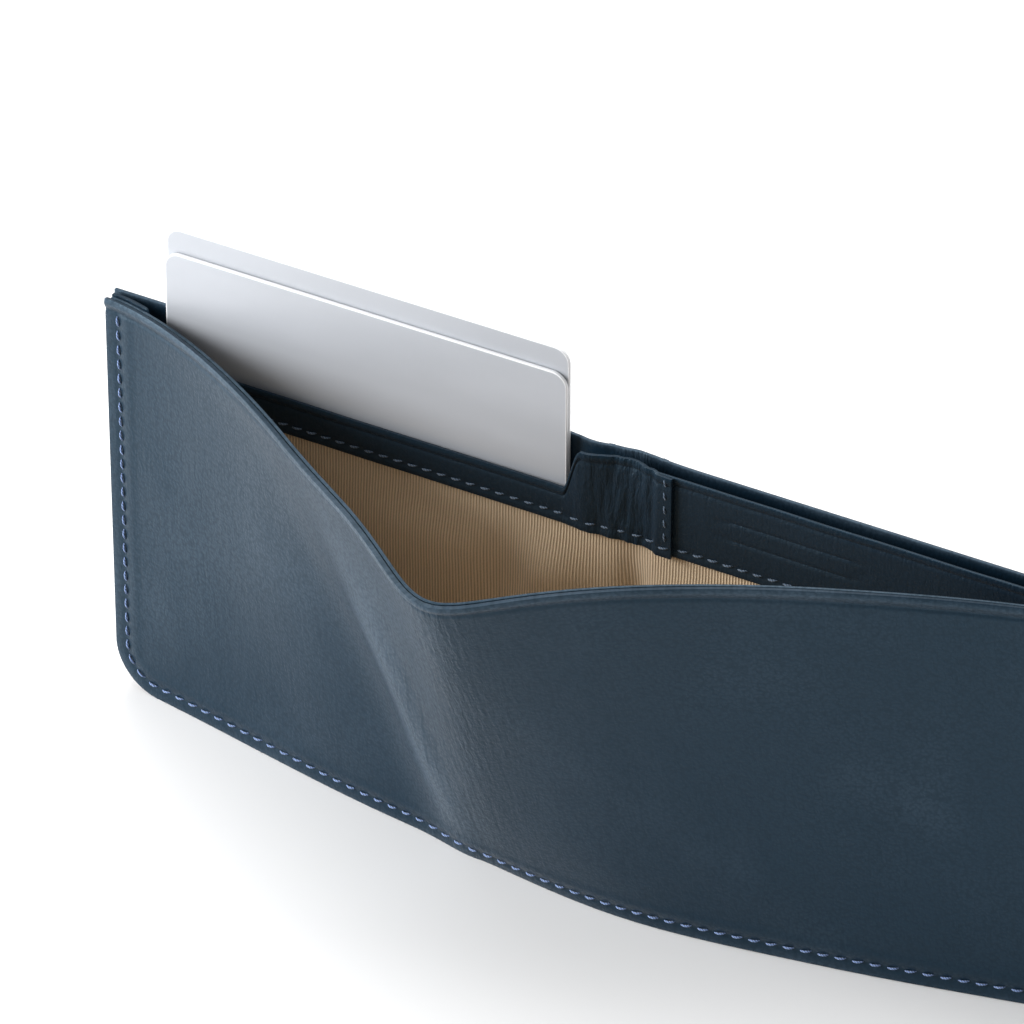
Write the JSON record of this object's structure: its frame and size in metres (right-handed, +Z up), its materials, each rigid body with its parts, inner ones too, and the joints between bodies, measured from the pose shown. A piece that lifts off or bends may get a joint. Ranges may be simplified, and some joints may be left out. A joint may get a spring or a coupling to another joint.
{
  "type": "bifold wallet",
  "caption": "Slim bifold leather wallet standing open on its long edge, note compartment gaping, with blank cards in a hidden slot.",
  "frame": {"origin": "middle of the whole object's footprint, on the surface that it stands on", "axes": "+Z up the standing leather, +X along the open wallet from the left leaf to the right leaf, +Y from the gaping note compartment to the inside faces"},
  "size_m": [0.224, 0.0562, 0.109],
  "materials": {
    "leather": "fine pebbled grain, satin",
    "lining_fabric": "fine ribbed weave",
    "thread": "twisted thread",
    "card": "smooth, semi-gloss",
    "stiffener_board": "dyed board"
  },
  "bodies": {
    "right_leaf": {"back_panel_right": "leather", "note_floor_right": "lining_fabric", "note_lining_right": "lining_fabric", "outer_hem_right": "leather", "outer_lining_right": "lining_fabric", "outer_skin_right": "leather", "pocket_low_right": "leather", "pocket_mid_right": "leather", "pocket_top_right": "leather", "slot_backing_right": "lining_fabric", "slot_seam_right": "lining_fabric", "spine_inner_strip": "leather", "spine_lining": "lining_fabric", "spine_strip": "leather", "stiffener_right": "stiffener_board", "thread_inner_right": "thread", "thread_outer_right": "thread", "thread_seam": "thread", "thread_strip_right": "thread", "top_strip_right": "leather"},
    "left_leaf": {"back_panel_left": "leather", "note_floor_left": "lining_fabric", "note_lining_left": "lining_fabric", "outer_hem_left": "leather", "outer_lining_left": "lining_fabric", "outer_skin_left": "leather", "pocket_low_left": "leather", "pocket_mid_left": "leather", "pocket_top_left": "leather", "slot_backing_left": "lining_fabric", "slot_seam_left": "lining_fabric", "slot_strip_left": "leather", "stiffener_left": "stiffener_board", "thread_inner_left": "thread", "thread_outer_left": "thread", "thread_strip_left": "thread"},
    "card_front": {"card_front": "card"},
    "card_rear": {"card_rear": "card"}
  },
  "joints": [
    {"name": "fold", "type": "hinge", "parent": "right_leaf", "child": "left_leaf", "pos_m": [0, 0.0283, 0], "axis": [0, 0, -1], "range_deg": [0, 180]},
    {"name": "front_card_slide", "type": "slide", "parent": "left_leaf", "child": "card_front", "axis": [0, 0, 1], "range_m": [-0.0215, 0.03]},
    {"name": "rear_card_slide", "type": "slide", "parent": "left_leaf", "child": "card_rear", "axis": [0, 0, 1], "range_m": [-0.0265, 0.025]}
  ]
}
